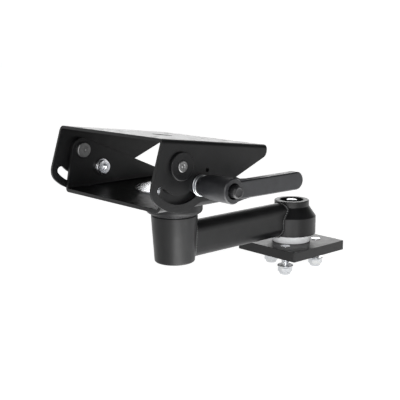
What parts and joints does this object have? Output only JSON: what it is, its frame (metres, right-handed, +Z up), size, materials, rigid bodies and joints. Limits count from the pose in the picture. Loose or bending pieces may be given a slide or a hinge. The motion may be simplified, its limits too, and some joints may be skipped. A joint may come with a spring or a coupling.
{
  "type": "articulating equipment mount",
  "caption": "Swing arm on a square base plate with a pivot hub, carrying a swivelling double clevis whose drilled equipment plate tilts and is locked by a clamping lever.",
  "frame": {"origin": "on the arm pivot axis at the underside of the base plate", "axes": "+X from the swivel head towards the base pivot (the head's rear), +Y away from the clamping lever, +Z up along both vertical pivots"},
  "size_m": [0.2758, 0.1944, 0.1571],
  "materials": {
    "black_powder_coat": "semi-gloss",
    "zinc_plated_steel": "bright",
    "machined_steel": "satin",
    "white_nylon": "satin",
    "black_nylon": "satin",
    "bronze": "satin",
    "black_steel": "satin",
    "lever_black": "satin",
    "button_black": "satin"
  },
  "bodies": {
    "base": {"base_plate": "black_powder_coat", "base_studs": "zinc_plated_steel", "flange_nuts": "zinc_plated_steel", "spindle": "machined_steel", "nylon_washer": "white_nylon", "cap_washer": "black_steel", "cap_bolt": "zinc_plated_steel"},
    "arm": {"hub": "black_powder_coat", "hub_bush_lower": "bronze", "hub_bush_upper": "bronze", "arm_tube": "black_powder_coat", "socket_tube": "black_powder_coat", "post_bush_lower": "black_nylon", "post_bush_upper": "black_nylon"},
    "head": {"swivel_drum": "black_powder_coat", "swivel_post": "machined_steel", "post_washer": "zinc_plated_steel", "post_bolt": "zinc_plated_steel", "lower_clevis": "black_powder_coat", "floor_disc": "zinc_plated_steel", "swivel_nut": "zinc_plated_steel", "pivot_pins": "machined_steel", "pivot_spacers": "black_nylon", "clamp_stud": "zinc_plated_steel", "clamp_spacers": "black_nylon", "lever_washer": "zinc_plated_steel", "far_bolt": "zinc_plated_steel", "far_nut": "zinc_plated_steel", "far_washer": "zinc_plated_steel"},
    "tilt_plate": {"upper_clevis": "black_powder_coat", "pivot_bosses": "black_powder_coat"},
    "lever_core": {"lever_insert": "black_steel"},
    "lever": {"lever_handle": "lever_black"},
    "button": {"lever_button": "button_black"}
  },
  "joints": [
    {"name": "arm_swing", "type": "hinge", "parent": "base", "child": "arm", "pos_m": [0, 0, 0.03], "axis": [0, 0, 1], "continuous": true},
    {"name": "head_swivel", "type": "hinge", "parent": "arm", "child": "head", "pos_m": [-0.1563, 0, 0.06], "axis": [0, 0, 1], "continuous": true},
    {"name": "clevis_tilt", "type": "hinge", "parent": "head", "child": "tilt_plate", "pos_m": [-0.2088, 0, 0.11545], "axis": [0, -1, 0], "range_deg": [-7.2, 97.5]},
    {"name": "lever_turn", "type": "hinge", "parent": "head", "child": "lever_core", "pos_m": [-0.18901, -0.08, 0.09843], "axis": [0, -1, 0], "range_deg": [-15, 15]},
    {"name": "lever_index", "type": "hinge", "parent": "lever_core", "child": "lever", "pos_m": [-0.18901, -0.09, 0.09843], "axis": [0, -1, 0], "range_deg": [-10, 45]},
    {"name": "button_press", "type": "slide", "parent": "lever", "child": "button", "axis": [0, 1, 0], "range_m": [0, 0.003], "stiffness_N_per_m": 600, "springref_m": -0.004}
  ]
}
